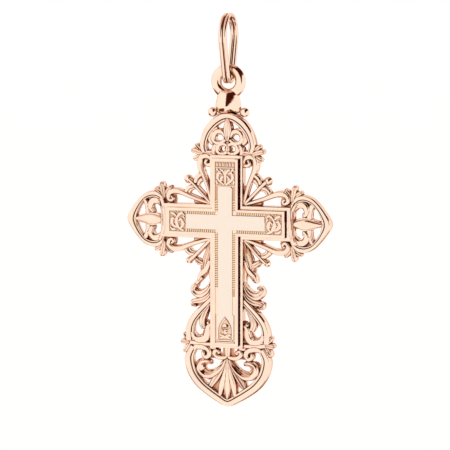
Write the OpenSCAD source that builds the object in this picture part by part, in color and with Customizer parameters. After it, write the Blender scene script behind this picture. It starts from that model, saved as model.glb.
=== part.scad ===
// Openwork orthodox cross pendant in red gold, hanging from a pear-shaped bail of two soldered wires.
// X runs to the wearer's left, which is the viewer's right, and Z up. The front faces -Y.
// The origin is the top of the bail's inside, where a chain would carry it.
// All tables of the openwork are drawn for a cross 26 wide, about the crossing of its bars, and list the
// right half; the left half is their mirror image. Each row is [x, z, half width].

/* [Cross] */
// Width over the two side finials
cross_w = 26; // [25:0.5:30]
// Thickness of the openwork, from the flat back to the top of its relief
openwork_t = 1.05; // [0.9:0.05:1.3]
// Height of the raised cross above the openwork
raised_h = 0.9; // [0.6:0.05:1.1]
// Width of each bar of the raised cross
bar_w = 3.32; // [3.1:0.02:3.5]
// Width of the bevel along the raised cross
bar_bevel = 0.12; // [0.05:0.01:0.2]

/* [Eyelet and cap] */
// Radius of the eyelet's round wire
eyelet_wire_r = 0.65; // [0.6:0.01:0.7]
// Radius of the hole through the eyelet
eyelet_hole_r = 0.85; // [0.8:0.01:0.95]
// Thickness of the faceted cap, front to back
cap_t = 1.7; // [1.5:0.1:2]

/* [Bail ring] */
// Radius of each of the two wires
bail_wire_r = 0.27; // [0.24:0.01:0.3]
// Radius of the upper bend, to the middle of the wire
bail_top_r = 2.5; // [2.4:0.05:2.7]
// Radius of the lower bend, to the middle of the wire
bail_foot_r = 1.2; // [1.1:0.05:1.4]
// Height of the bail, to the middle of the wire
bail_h = 7.95; // [7.5:0.05:8.5]

/* [Hidden] */

k = cross_w / 26;
gold = [0.90, 0.66, 0.52];
back_y = 0.45;
front_y = back_y - openwork_t;
face_y = front_y - raised_h;
sink = 0.2;

hole_z = 17 * k;
eyelet_r = eyelet_hole_r + eyelet_wire_r;
wire_offset = bail_wire_r * 0.89;
bail_rise = bail_h - bail_top_r - bail_foot_r;
bail_lean = asin((bail_top_r - bail_foot_r) / bail_rise);
bail_side = bail_rise * cos(bail_lean);
seat_z = hole_z + bail_h - bail_wire_r;

bar_top = 7.8;
bar_foot = -15.25;
bar_arm = 7.48;
flange = 2.02;

// Outlines of the frames: outer edge and inner edge, [x, z]
side_outer = [[7.35, 0], [7.4, 1.1], [7.75, 2.25], [8.5, 3.15], [9.6, 3.5], [10.75, 3.08], [11.75, 2.08],
    [12.47, 1.0], [13, 0]];
side_inner = [[8.2, 0], [8.25, 0.8], [8.6, 1.65], [9.2, 2.1], [10.1, 2.3], [10.9, 1.95], [11.45, 1.0],
    [11.75, 0]];
top_outer = [[0, 13.35], [0.9, 13.15], [2.1, 12.4], [2.95, 11.3], [3.45, 10.1], [3.6, 9.3], [3.4, 8.3]];
top_inner = [[0, 12.2], [0.6, 12.08], [1.4, 11.5], [2.2, 10.7], [2.6, 9.8], [2.62, 9.1], [2.35, 8.65]];
heart_outer = [[4.9, -15.6], [5.5, -16.9], [5.5, -17.9], [5.1, -19.3], [4.1, -20.7], [2.6, -21.85],
    [1.1, -22.65], [0, -23.1]];
heart_inner = [[3.9, -16.0], [4.3, -16.8], [4.3, -17.7], [3.9, -18.9], [3.0, -20.05], [1.8, -20.95],
    [0.8, -21.6], [0, -22.1]];
lower_outer = [[2.3, -9.6], [3.4, -10.5], [4.3, -11.4], [5.0, -12.4], [5.4, -13.6], [5.4, -15]];
lower_inner = [[2.3, -10.4], [3.2, -11.5], [3.95, -12.5], [4.27, -13.4], [4.15, -14.1], [3.7, -14.3]];

// Scrolls, stems and leaves
marquise = [[7.9, 0, 0.12], [8.7, 0, 0.6], [9.7, 0, 0.8], [10.8, 0, 0.58], [12.1, 0, 0.15]];
side_scroll = [[8.5, 2.3, 0.35], [9.3, 2.4, 0.4], [9.9, 2.0, 0.42], [9.85, 1.35, 0.42], [9.65, 1.0, 0.38]];
side_stem = [[10.75, 2.3, 0.4], [10.3, 1.8, 0.38], [10.2, 1.2, 0.34], [10.15, 0.6, 0.4]];
top_petal = [[0, 12.4, 0.15], [0, 11.7, 0.5], [0, 11.0, 0.55], [0, 10.4, 0.4], [0, 9.9, 0.2]];
top_scroll = [[0.2, 10.1, 0.25], [0.75, 9.6, 0.25], [1.4, 9.6, 0.27], [1.82, 10.15, 0.3], [1.5, 10.8, 0.34],
    [0.9, 10.88, 0.34], [0.4, 10.6, 0.25]];
top_link = [[1.5, 11.2, 0.35], [2.15, 10.5, 0.5], [2.05, 9.95, 0.35]];
top_eye = [[0.05, 9.4, 0.32], [0.7, 9.45, 0.26], [1.2, 9.15, 0.26], [1.3, 8.6, 0.36], [0.9, 8.25, 0.32],
    [0.1, 8.3, 0.4], [0.12, 8.9, 0.38]];
top_outer_eye = [[1.3, 9.5, 0.25], [1.72, 9.15, 0.3], [1.75, 8.5, 0.42], [2.6, 8.3, 0.4]];
shoulder_scroll = [[2.2, 7.15, 0.4], [2.2, 7.7, 0.4], [2.75, 7.5, 0.6], [3.3, 7.3, 0.4], [3.45, 6.6, 0.36],
    [3.2, 5.9, 0.32]];
corner_web = [[2.1, 4.2, 0.14], [2.1, 3.0, 0.25], [2.2, 2.3, 0.4], [3.2, 2.25, 0.28], [4.2, 2.3, 0.22]];
ray_up = [[3.2, 5.9, 0.3], [2.85, 5.2, 0.24], [2.55, 4.4, 0.22], [2.3, 3.4, 0.22], [2.0, 2.2, 0.25]];
ray_mid = [[2.0, 2.1, 0.25], [3.2, 3.35, 0.2], [4.2, 4.35, 0.2], [4.9, 4.95, 0.24]];
ray_out = [[2.2, 2.1, 0.22], [3.5, 2.5, 0.2], [4.8, 2.95, 0.26], [6.0, 3.42, 0.36], [6.9, 3.45, 0.42],
    [7.45, 3.0, 0.35]];
hook_up = [[3.15, 5.6, 0.22], [3.7, 5.35, 0.26], [3.95, 4.85, 0.24], [3.8, 4.3, 0.2]];
hook_out = [[4.35, 4.15, 0.2], [4.95, 3.95, 0.26], [5.25, 3.5, 0.25], [5.1, 3.1, 0.2]];
arm_scroll = [[7.3, 2.0, 0.3], [7.7, 2.4, 0.4], [7.45, 2.85, 0.4], [7.0, 2.75, 0.4], [6.95, 2.3, 0.36]];
ray_down = [[2.15, -2.3, 0.25], [2.5, -3.3, 0.3], [2.75, -4.3, 0.34], [3.0, -5.2, 0.45], [3.2, -6.0, 0.4]];
knob = [[3.2, -5.2, 0.4], [3.75, -5.15, 0.42], [4.15, -4.75, 0.22]];
bar_web = [[2.0, -2.4, 0.4], [2.15, -4.0, 0.4], [2.25, -5.6, 0.5], [2.2, -6.7, 0.25], [2.05, -7.8, 0.25],
    [2.2, -9.2, 0.35], [2.1, -10.6, 0.2]];
left_strut = [[3.3, -7.0, 0.3], [4.0, -7.9, 0.3]];
tongue = [[2.6, -5.8, 0.6], [3.0, -6.5, 0.45], [3.45, -7.2, 0.34]];
curl_leaf = [[2.15, -7.6, 0.2], [2.5, -8.5, 0.3], [3.1, -9.1, 0.45], [3.9, -9.1, 0.5], [4.35, -8.6, 0.42],
    [4.05, -8.15, 0.3]];
lobe_leaf = [[2.2, -9.0, 0.3], [3.0, -9.85, 0.45], [3.9, -10.2, 0.5], [4.5, -10.15, 0.32]];
inner_stem = [[2.3, -10.0, 0.35], [2.85, -11.1, 0.33], [3.3, -12.1, 0.45], [3.1, -13.2, 0.4]];
inner_scroll = [[2.9, -12.6, 0.35], [2.5, -13.2, 0.55], [2.6, -14.2, 0.75], [3.4, -14.75, 0.5],
    [4.3, -14.85, 0.5], [4.9, -14.7, 0.6]];
inner_web = [[2.2, -12.6, 0.35], [2.1, -14.0, 0.4], [2.3, -15.2, 0.5], [3.4, -15.2, 0.4],
    [4.4, -15.3, 0.5]];
foot_stem = [[0.2, -15.2, 0.5], [0.2, -16.9, 0.5]];
foot_scroll = [[0.3, -16.75, 0.35], [0.9, -16.75, 0.32], [1.45, -16.5, 0.42], [1.65, -15.9, 0.5],
    [2.4, -15.7, 0.4]];
heart_volute = [[4.4, -15.7, 0.5], [3.6, -15.7, 0.5], [2.8, -15.9, 0.45], [2.5, -16.5, 0.5],
    [2.95, -16.5, 0.55]];
heart_web = [[1.6, -16.65, 0.45], [2.5, -16.75, 0.4]];
leaf_scroll = [[0.35, -17.2, 0.35], [0.95, -18.2, 0.33], [1.8, -19.05, 0.36], [2.8, -19.1, 0.5],
    [3.45, -18.5, 0.62], [3.3, -17.9, 0.55], [2.7, -17.6, 0.4], [2.2, -17.7, 0.26]];
leaf_link = [[3.5, -17.7, 0.45], [4.1, -18.3, 0.5]];
palmette = [[0, -17], [0.7, -18.3], [2.2, -19.6], [2.5, -20.4], [1.85, -20.9], [1.25, -20.55],
    [1.25, -21.3], [0.6, -21.8], [0, -22.3]];
left_palmette = [[1.1, -20.4], [2.1, -20.8], [1.1, -21.6]];

// Lobes of the leaf tufts: [x, z, half width] at the root and at the tip
side_lobes = [[[7.9, 3.2, 0.35], [7.3, 3.95, 0.3]], [[8.1, 3.1, 0.4], [8.4, 4.3, 0.33]],
    [[8.3, 3.1, 0.35], [9.1, 3.75, 0.28]]];
cap_ledge = [[1.0, 13.35, 0.35], [2.0, 13.2, 0.4]];
top_lobes = [[[3.2, 8.4, 0.35], [3.95, 9.2, 0.28]], [[3.2, 8.3, 0.4], [4.4, 8.6, 0.3]],
    [[3.1, 8.1, 0.4], [4.15, 7.6, 0.28]]];
bottom_lobes = [[[4.9, -15.1, 0.4], [5.5, -14.3, 0.28]], [[5.0, -15.2, 0.4], [5.8, -15.2, 0.26]],
    [[4.9, -15.3, 0.4], [5.5, -16.3, 0.3]]];

// Balls at the ends of the rays and beside the cap: [x, z, radius]
balls = [[5.05, 5.05, 0.55], [4.95, -5.0, 0.45], [2.02, 13.3, 0.58]];
lower_ray_shift = 0.05;

// A smooth curve through the rows of a table, with the given number of steps between two rows
function row(t, i) = t[max(0, min(len(t) - 1, i))];
function between(a, b, c, d, u) =
    0.5 * (2 * b + (c - a) * u + (2 * a - 5 * b + 4 * c - d) * u * u + (3 * b - a - 3 * c + d) * u * u * u);
function smooth(t, steps) = concat(
    [for (i = [0:len(t) - 2], s = [0:steps - 1])
        between(row(t, i - 1), t[i], t[i + 1], row(t, i + 2), s / steps)],
    [t[len(t) - 1]]);
function upside_down(t) = [for (p = t) len(p) == 3 ? [p[0], -p[1], p[2]] : [p[0], -p[1]]];
function backwards(t) = [for (i = [len(t) - 1:-1:0]) t[i]];
function normal(a, b) = let (d = [b[0] - a[0], b[1] - a[1]]) [-d[1], d[0]] / norm(d);
function place(p) = [p[0], p[1]];

function edge_of(rows, i, side) =
    place(rows[i]) + side * rows[i][2] * normal(row(rows, i - 1), row(rows, i + 1));

module stroke(table, steps = 2) {
    rows = smooth(table, steps);
    for (i = [0:len(rows) - 2])
        polygon([edge_of(rows, i, 1), edge_of(rows, i + 1, 1), edge_of(rows, i + 1, -1),
            edge_of(rows, i, -1)]);
    for (end = [rows[0], rows[len(rows) - 1]])
        translate(place(end)) circle(r = end[2], $fn = 8);
}

module lobes(table) {
    for (lobe = table)
        stroke(lobe, 1);
}

module both_halves() {
    children();
    mirror([1, 0]) children();
}

module side_frame() {
    difference() {
        polygon(concat(smooth(side_outer, 2), smooth(backwards(upside_down(side_outer)), 2)));
        polygon(concat(smooth(side_inner, 2), smooth(backwards(upside_down(side_inner)), 2)));
    }
}

module side_half() {
    stroke(side_scroll);
    stroke(side_stem);
    stroke(arm_scroll);
    lobes(side_lobes);
}

module side_finial() {
    side_frame();
    stroke(marquise);
    side_half();
    mirror([0, 1]) side_half();
}

module top_finial() {
    polygon(concat(smooth(top_outer, 2), backwards(smooth(top_inner, 2))));
    stroke(top_petal);
    stroke(top_scroll);
    stroke(top_link);
    stroke(top_eye);
    stroke(top_outer_eye);
    stroke(cap_ledge, 1);
    lobes(top_lobes);
}

module bottom_finial() {
    polygon(concat(smooth(heart_outer, 2), backwards(smooth(heart_inner, 2))));
    polygon(palmette);
    stroke(foot_stem, 1);
    stroke(foot_scroll);
    stroke(heart_volute);
    stroke(heart_web, 1);
    stroke(leaf_scroll);
    stroke(leaf_link, 1);
    lobes(bottom_lobes);
}

module outward_rays() {
    stroke(ray_mid);
    stroke(ray_out);
    stroke(hook_out);
}

module corner_spray() {
    stroke(corner_web, 1);
    stroke(shoulder_scroll);
    stroke(ray_up);
    stroke(hook_up);
    outward_rays();
    translate([0, -lower_ray_shift]) mirror([0, 1]) {
        outward_rays();
        stroke(corner_web, 1);
    }
    stroke(bar_web, 1);
    stroke(ray_down);
    stroke(knob);
}

module lower_leaves() {
    stroke(tongue);
    stroke(curl_leaf);
    stroke(lobe_leaf);
    polygon(concat(smooth(lower_outer, 2), backwards(smooth(lower_inner, 2))));
    stroke(inner_stem);
    stroke(inner_scroll);
    stroke(inner_web, 1);
}

module base_cross() {
    translate([0, bar_foot - 0.35]) square([flange, bar_top - bar_foot + 0.7]);
    translate([0, -flange]) square([bar_arm + 0.3, 2 * flange]);
}

// On the left, a strut joins the tongue to the leaf below it, and the palmette has no side hole.
module left_only() {
    mirror([1, 0]) {
        stroke(left_strut, 1);
        polygon(left_palmette);
    }
}

// The whole openwork as one flat outline. Closing it by a hair joins edges that only just meet.
module openwork_outline() {
    hair = 0.03;
    scale(k) offset(delta = -hair) offset(delta = hair) {
        both_halves() {
            base_cross();
            side_finial();
            top_finial();
            bottom_finial();
            corner_spray();
            lower_leaves();
        }
        left_only();
    }
}

module openwork() {
    color(gold) translate([0, back_y, 0]) rotate([90, 0, 0]) linear_extrude(openwork_t) openwork_outline();
}

// One bar of the raised cross, bevelled along its four front edges
module raised_bar(width, low, high) {
    half = width / 2;
    depth = raised_h + sink;
    intersection() {
        translate([-half - 1, 0, low]) rotate([90, 0, 90]) linear_extrude(width + 2)
            polygon([[front_y + sink, 0], [front_y + sink, high - low], [face_y + bar_bevel, high - low],
                [face_y, high - low - bar_bevel], [face_y, bar_bevel], [face_y + bar_bevel, 0]]);
        translate([0, 0, low - 1]) linear_extrude(high - low + 2)
            polygon([[-half, front_y + sink], [half, front_y + sink], [half, face_y + bar_bevel],
                [half - bar_bevel, face_y], [bar_bevel - half, face_y], [-half, face_y + bar_bevel]]);
    }
}

module raised_cross() {
    color(gold) {
        raised_bar(bar_w, bar_foot * k, bar_top * k);
        rotate([0, 90, 0]) raised_bar(bar_w, -bar_arm * k, bar_arm * k);
    }
}

module ball_ends() {
    color(gold) for (side = [-1, 1], ball = balls)
        translate([side * ball[0] * k, 0, ball[1] * k]) sphere(r = ball[2] * k, $fn = 32);
}

// The tapered block under the eyelet, with a ledge at its foot and a wedge-shaped facet cut in its front
module faceted_cap() {
    cap_foot = 13.2 * k;
    cap_top = 15.9 * k;
    facet_depth = 0.15;
    color(gold) difference() {
        intersection() {
            translate([0, 2, 0]) rotate([90, 0, 0]) linear_extrude(4)
                polygon([[-1.45, cap_foot], [1.45, cap_foot], [1.62, cap_foot + 0.7], [1.6, cap_foot + 1.0],
                    [1.25, cap_top], [-1.25, cap_top], [-1.6, cap_foot + 1.0], [-1.62, cap_foot + 0.7]]);
            translate([-3, 0, 0]) rotate([90, 0, 90]) linear_extrude(6)
                polygon([[-cap_t / 2, cap_foot], [cap_t / 2, cap_foot], [cap_t / 2, cap_foot + 0.8],
                    [cap_t / 2 - 0.3, cap_top], [0.3 - cap_t / 2, cap_top], [-cap_t / 2, cap_foot + 0.8]]);
        }
        translate([0, facet_depth - cap_t / 2, cap_foot + 0.8]) rotate([-9, 0, 0]) rotate([90, 0, 0])
            linear_extrude(1) polygon([[0, 0.1], [0.42, 1.6], [-0.42, 1.6]]);
    }
}

module eyelet() {
    color(gold) translate([0, 0, hole_z]) rotate([90, 0, 0]) rotate_extrude($fn = 64)
        translate([eyelet_r, 0]) circle(r = eyelet_wire_r, $fn = 32);
}

module cross_casting() {
    translate([0, 0, -seat_z]) {
        openwork();
        raised_cross();
        ball_ends();
        faceted_cap();
        eyelet();
    }
}

// The section of the bail: two round wires side by side, run together by solder between them
module wire_pair(fine = 1) {
    for (side = [-1, 1])
        translate([0, side * fine * wire_offset]) circle(r = fine * bail_wire_r, $fn = 32);
    square([fine * bail_wire_r, fine * wire_offset], center = true);
}

module bail_bend(r, start, angle) {
    rotate([0, 0, start]) rotate_extrude(angle = angle, $fn = 64) translate([r, 0]) wire_pair();
}

// A pear in outline: the lower bend, the wider upper bend, and two sides that lean out from one to the other.
// The sides are a hair finer than the bends and reach a little way into them.
module bail_ring() {
    reach = 0.1;
    color(gold) translate([0, 0, hole_z + bail_foot_r - seat_z]) rotate([90, 0, 90]) {
        bail_bend(bail_foot_r, 180 + bail_lean, 180 - 2 * bail_lean);
        translate([0, bail_rise, 0]) bail_bend(bail_top_r, -bail_lean, 180 + 2 * bail_lean);
        for (side = [-1, 1])
            rotate([0, 0, -side * bail_lean]) translate([side * bail_foot_r, bail_side + reach, 0])
                rotate([90, 0, 0]) linear_extrude(bail_side + 2 * reach) wire_pair(0.97);
    }
}

bail_ring();
cross_casting();
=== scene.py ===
# %% [markdown]
# # An openwork cross pendant in red gold
# The real pendant is cast in one piece by lost wax: a pierced plate of scrolls and leaves, with a bevelled
# cross standing proud in front. A small eyelet is soldered on top, and a pear-shaped bail of two wires
# runs through it. We build each ornament as its own closed shape over a thin pierced plate, because that
# is how the wax is carved, and because every scroll then keeps its own rounding and its own valley beside
# its neighbour.

import math

import bmesh
import bpy
from mathutils import Matrix, Vector
from mathutils.bvhtree import BVHTree


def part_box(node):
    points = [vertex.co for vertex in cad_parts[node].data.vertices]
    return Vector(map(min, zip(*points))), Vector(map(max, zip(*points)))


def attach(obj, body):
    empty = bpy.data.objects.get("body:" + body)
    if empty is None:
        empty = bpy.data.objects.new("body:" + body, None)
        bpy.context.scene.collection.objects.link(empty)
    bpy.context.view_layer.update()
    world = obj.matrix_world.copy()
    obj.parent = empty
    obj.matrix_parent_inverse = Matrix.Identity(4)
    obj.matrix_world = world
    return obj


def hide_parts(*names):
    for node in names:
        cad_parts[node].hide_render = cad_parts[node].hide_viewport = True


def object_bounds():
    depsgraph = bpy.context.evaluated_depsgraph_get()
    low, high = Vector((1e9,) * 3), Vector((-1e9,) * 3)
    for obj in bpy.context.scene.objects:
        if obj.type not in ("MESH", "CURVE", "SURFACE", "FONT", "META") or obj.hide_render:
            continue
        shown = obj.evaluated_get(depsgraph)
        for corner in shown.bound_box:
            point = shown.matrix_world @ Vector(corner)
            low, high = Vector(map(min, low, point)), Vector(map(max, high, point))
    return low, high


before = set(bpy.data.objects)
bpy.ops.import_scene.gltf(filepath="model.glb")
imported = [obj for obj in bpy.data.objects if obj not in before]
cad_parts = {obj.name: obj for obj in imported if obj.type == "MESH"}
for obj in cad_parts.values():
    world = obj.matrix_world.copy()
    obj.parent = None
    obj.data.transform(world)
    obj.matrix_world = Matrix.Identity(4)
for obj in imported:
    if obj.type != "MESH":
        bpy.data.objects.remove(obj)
cad_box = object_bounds()
print("frame:", [round(v * 1000, 2) for v in (*cad_box[0], *cad_box[1])], "mm")

# %% [markdown]
# ## The drawing
# All ornament is drawn in millimetres about the crossing of the bars, with x to the right and z up, as a
# carver draws on a wax blank. Depths run along y, and the front looks towards -y: BACK is the back of the
# openwork, FRONT is its front, and FACE is the front of the raised cross. One matrix carries the drawing
# to its place in metres. It is worked out from the cast part's box, so the drawing follows the frame if
# its size ever changes.

# %% Where the drawing goes
CAST = "cross_casting"
DRAWN_WIDTH = 26.0
DRAWN_FOOT = -23.1
BACK = 0.45
FRONT = -0.6
FACE = -1.5

cast_low, cast_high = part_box(CAST)
unit = (cast_high.x - cast_low.x) / DRAWN_WIDTH
crossing = cast_low.z - DRAWN_FOOT * unit
place = Matrix.Translation((0, 0, crossing)) @ Matrix.Scale(unit, 4)
print("one drawn millimetre is", round(unit * 1000, 4), "mm, crossing at z =", round(crossing * 1000, 2))

# %% [markdown]
# ## Following a path
# A scroll, a stem or a leaf is a ridge of wax that follows a curve and swells and thins as it goes. It
# could be a bevelled Curve object, but a curve's section only scales evenly. Here a section is drawn once
# and extruded from station to station. At each station it is turned to the path, widened, and raised to
# that station's height. First come the stations: a few rows are given, and a smooth curve runs through
# them. A row of a stroke is (x, z, half width) or (x, z, half width, height over the back).

# %% Smooth the rows
STATION_GAP = 0.17


def stretches(rows, gap=STATION_GAP):
    """How many steps to take from each row to the next, for stations about one gap apart."""
    return [max(1, round((Vector(b[:2]) - Vector(a[:2])).length / gap)) for a, b in zip(rows, rows[1:])]


def smooth(rows, steps):
    """Stations on a Catmull-Rom curve through the rows, with so many steps on each stretch."""
    stations = []
    for i, count in enumerate(steps):
        a, b, c, d = (Vector(rows[min(max(i + j, 0), len(rows) - 1)]) for j in (-1, 0, 1, 2))
        for step in range(count):
            u = step / count
            stations.append(0.5 * (2 * b + (c - a) * u + (2 * a - 5 * b + 4 * c - d) * u * u
                                   + (3 * b - a - 3 * c + d) * u ** 3))
    return stations + [Vector(rows[-1])]


print("steps on a path of 1 mm and 2 mm:", stretches([(0, 0), (1, 0), (3, 0)]))

# %% Round a free end
TIP = ((0.5, 0.87, 0.97), (0.85, 0.55, 0.88), (1.0, 0.12, 0.7))


def rounded_end(rows):
    """Adds the stations of a rounded tip. Each lies further ahead, narrower and lower than the last row."""
    last, before = rows[-1], rows[-2]
    way = (last.xy - before.xy).normalized()
    extra = []
    for ahead, narrow, low in TIP:
        x, z = last.xy + way * last[2] * ahead
        extra.append(Vector((x, z, last[2] * narrow, last[3] * low)))
    return rows + extra


print("a rounded end adds", len(TIP), "stations")

# %% [markdown]
# ## Sections
# A section is half of the outline across a stroke, from the middle (0) to the edge (1), with its height
# from the back (0) to the top (1). The other half mirrors it. The finials' frames need an uneven section:
# from its inner edge (-1) outwards, FRAME has a narrow rim, a fine groove and a broad band that rounds
# off. SLANT climbs from one edge to a crest near the other, as on a leaf that is turned to the side.

# %% Draw the sections
def mirrored(half):
    """A whole section from its right half."""
    return [(-u, v) for u, v in reversed(half) if u > 0] + list(half)


ROUND = mirrored([(0, 1), (0.35, 0.993), (0.58, 0.965), (0.75, 0.905), (0.87, 0.82), (0.95, 0.71),
                  (1, 0.55), (1, 0)])
CREASED = mirrored([(0, 0.9), (0.06, 0.91), (0.15, 0.965), (0.3, 0.995), (0.5, 1), (0.68, 0.965),
                    (0.84, 0.87), (0.94, 0.74), (1, 0.55), (1, 0)])
FLUTED = mirrored([(0, 1), (0.12, 0.98), (0.25, 0.88), (0.31, 0.87), (0.42, 0.96), (0.54, 0.95),
                   (0.66, 0.82), (0.71, 0.81), (0.82, 0.86), (0.92, 0.76), (1, 0.5), (1, 0)])
LEAF = mirrored([(0, 1), (0.12, 0.995), (0.4, 0.955), (0.62, 0.9), (0.72, 0.84), (0.78, 0.8), (0.85, 0.81),
                 (0.94, 0.79), (1, 0.66), (1, 0)])
CHANNEL = mirrored([(0, 0.93), (0.3, 0.93), (0.45, 0.955), (0.6, 0.99), (0.75, 1), (0.88, 0.95),
                    (0.96, 0.84), (1, 0.7), (1, 0)])
FRAME = [(-1, 0), (-1, 0.68), (-0.97, 0.82), (-0.91, 0.9), (-0.82, 0.93), (-0.58, 0.93), (-0.5, 0.89),
         (-0.46, 0.76), (-0.43, 0.68), (-0.4, 0.68), (-0.37, 0.8), (-0.33, 0.93), (-0.26, 0.985),
         (-0.16, 1), (0.5, 1), (0.61, 0.99), (0.73, 0.955), (0.85, 0.865), (0.94, 0.74), (1, 0.58), (1, 0)]
SLANT = [(-1, 0), (-1, 0.36), (-0.96, 0.45), (0, 0.955), (0.13, 0.99), (0.25, 1), (0.48, 0.99),
         (0.66, 0.95), (0.82, 0.87), (0.93, 0.74), (1, 0.55), (1, 0)]
print("points in a section:", {"round": len(ROUND), "fluted": len(FLUTED), "frame": len(FRAME)})

# %% [markdown]
# ## Carving
# A stroke begins as one flat face in the shape of its section. The face is extruded to the next station
# again and again, and only the first and the last copy of it stay, so every stroke ends up a closed shell
# with a flat back. A frame is made in the same way, but its stations run between two outlines. Both go
# through the thin plate and stop just short of its back, so that the back stays plain. Strokes are carved
# slightly wider than they are drawn, as a polished casting comes out a little fuller than its lines.

# %% Extrude a section
def station_matrix(x, z, across, height, base):
    """Places a flat section at (x, z): its width along across, its height from base to the front."""
    along = Vector((-across.z, 0, across.x))
    depth = Vector((0, -height, 0))
    columns = Matrix((across, depth, along)).transposed().to_4x4()
    return Matrix.Translation((x, base, z)) @ columns


def grow(bm, face, closes):
    """Extrudes a face. The face left behind stays only where it closes the shell."""
    made = bmesh.ops.extrude_face_region(bm, geom=[face])["geom"]
    if not closes:
        bmesh.ops.delete(bm, geom=[face], context="FACES_ONLY")
    return next(g for g in made if isinstance(g, bmesh.types.BMFace))


def extrude_along(section, matrices):
    """A closed shell: the section's face at the first station, extruded to each of the others."""
    bm = bmesh.new()
    face = bm.faces.new([bm.verts.new((u, v, 0)) for u, v in section])
    bmesh.ops.transform(bm, matrix=matrices[0], verts=bm.verts[:])
    for i in range(1, len(matrices)):
        face = grow(bm, face, closes=i == 1)
        bmesh.ops.transform(bm, matrix=matrices[i] @ matrices[i - 1].inverted(), verts=list(face.verts))
    bmesh.ops.recalc_face_normals(bm, faces=bm.faces[:])
    return bm


print("faces round each stretch of a round stroke:", len(ROUND))

# %% Carve a stroke
SPREAD = 0.06
SHORT_OF_BACK = 0.03
FULL = BACK - FRONT


def stroke(rows, section=ROUND, height=0.95, free="", base=BACK - SHORT_OF_BACK, full=FULL,
           spread=SPREAD):
    """A carved ridge through the rows. free names its rounded ends: "s" the start, "e" the end."""
    rows = [(r[0], r[1], r[2] + spread, r[3] if len(r) > 3 else height) for r in rows]
    rows = smooth(rows, stretches(rows))
    if "e" in free:
        rows = rounded_end(rows)
    if "s" in free:
        rows = rounded_end(rows[::-1])[::-1]
    matrices = []
    for i, (x, z, half, high) in enumerate(rows):
        ahead, behind = rows[min(i + 1, len(rows) - 1)], rows[max(i - 1, 0)]
        way = (ahead.xy - behind.xy).normalized()
        matrices.append(station_matrix(x, z, Vector((way.y, 0, -way.x)) * half, high * full, base))
    return extrude_along(section, matrices)


print("a full stroke is", round(FULL, 2), "mm high and starts", SHORT_OF_BACK, "mm in front of the back")

# %% Carve a frame


def band(outer, inner, section=FRAME):
    """A frame between two outlines whose rows pair up. A row is (x, z) or (x, z, height over the back)."""
    outer, inner = ([(*row, 1.0)[:3] for row in side] for side in (outer, inner))
    steps = stretches(outer)
    matrices = []
    for a, b in zip(smooth(outer, steps), smooth(inner, steps)):
        middle, reach = (a + b) / 2, (a - b) / 2
        across = Vector((reach.x, 0, reach.y))
        matrices.append(station_matrix(middle.x, middle.y, across, a.z * FULL, BACK - SHORT_OF_BACK))
    return extrude_along(section, matrices)


print("faces round each stretch of a frame:", len(FRAME))

# %% Round a bead
BEAD_SIDES, BEAD_RINGS = 24, 14


def ball(x, z, r, y=0.0, flat=1.0):
    """A round bead of metal."""
    bm = bmesh.new()
    bmesh.ops.create_uvsphere(bm, u_segments=BEAD_SIDES, v_segments=BEAD_RINGS, radius=r)
    bmesh.ops.scale(bm, vec=(1, flat, 1), verts=bm.verts[:])
    bmesh.ops.translate(bm, vec=(x, y, z), verts=bm.verts[:])
    return bm


print("a bead has", BEAD_SIDES, "sides")

# %% [markdown]
# ## Gathering strokes into a piece
# The same ornament is used up to four times: to the right and left, above and below. Each copy is mirrored
# with the scale operator, and its normals are worked out again, because a mirrored shell is inside out.
# Large flat faces stay flat-shaded, so that a cut wall doesn't look moulded, and edges sharper than a set
# angle stay crisp.

# %% Gather shapes
AS_DRAWN = ((1, 1),)
LEFT_ONLY = ((-1, 1),)
BOTH_SIDES = ((1, 1), (-1, 1))
BOTH_SIDES_BELOW = ((1, -1), (-1, -1))
ALL_QUARTERS = BOTH_SIDES + BOTH_SIDES_BELOW


def add_to(whole, part):
    """Adds one bmesh to another and frees it."""
    carrier = bpy.data.meshes.new("carrier")
    part.to_mesh(carrier)
    whole.from_mesh(carrier)
    part.free()
    bpy.data.meshes.remove(carrier)


def gather(shapes, mirrors=BOTH_SIDES):
    """One bmesh of all the shapes, each copied once for every (x sign, z sign)."""
    whole = bmesh.new()
    for shape in shapes:
        for sx, sz in mirrors:
            copy = shape.copy()
            bmesh.ops.scale(copy, vec=(sx, 1, sz), verts=copy.verts[:])
            bmesh.ops.recalc_face_normals(copy, faces=copy.faces[:])
            add_to(whole, copy)
        shape.free()
    return whole


print("a shape for each quarter is used", len(ALL_QUARTERS), "times")

# %% Finish a piece
SMOOTH_ANGLE = math.radians(38)
FLAT_AREA = 0.4e-6
pieces = {}


def finish_piece(bm, name, metal, body="cross", node=CAST, to_row=place):
    """Carries a drawn shape to the row frame and makes it an object that rides its body."""
    loose = sum(1 for e in bm.edges if len(e.link_faces) != 2)
    bmesh.ops.transform(bm, matrix=to_row, verts=bm.verts[:])
    mesh = bpy.data.meshes.new(name)
    bm.to_mesh(mesh)
    bm.free()
    mesh.materials.append(metal)
    mesh.shade_smooth()
    mesh.set_sharp_from_angle(angle=SMOOTH_ANGLE)
    for face in mesh.polygons:
        if face.area > FLAT_AREA:
            face.use_smooth = False
    piece = bpy.data.objects.new(name, mesh)
    bpy.context.scene.collection.objects.link(piece)
    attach(piece, body)
    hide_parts(node)
    pieces[name] = piece
    print(name, "-", sum(len(p.vertices) - 2 for p in mesh.polygons), "triangles,", loose, "open edges")
    return piece


print("edges over", round(math.degrees(SMOOTH_ANGLE)), "degrees stay sharp")

# %% [markdown]
# ## The metal
# Red gold is gold with copper. As a metal it has no colour of its own but tints what it mirrors, so its
# look is a base colour on a fully metallic shader, and the room around it. The relief is polished by hand:
# its tone and gloss drift a little from place to place, and fine ripples are left from the buffing wheel.
# The patterns read Object coordinates, so they stay on the metal in every view.

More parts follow.
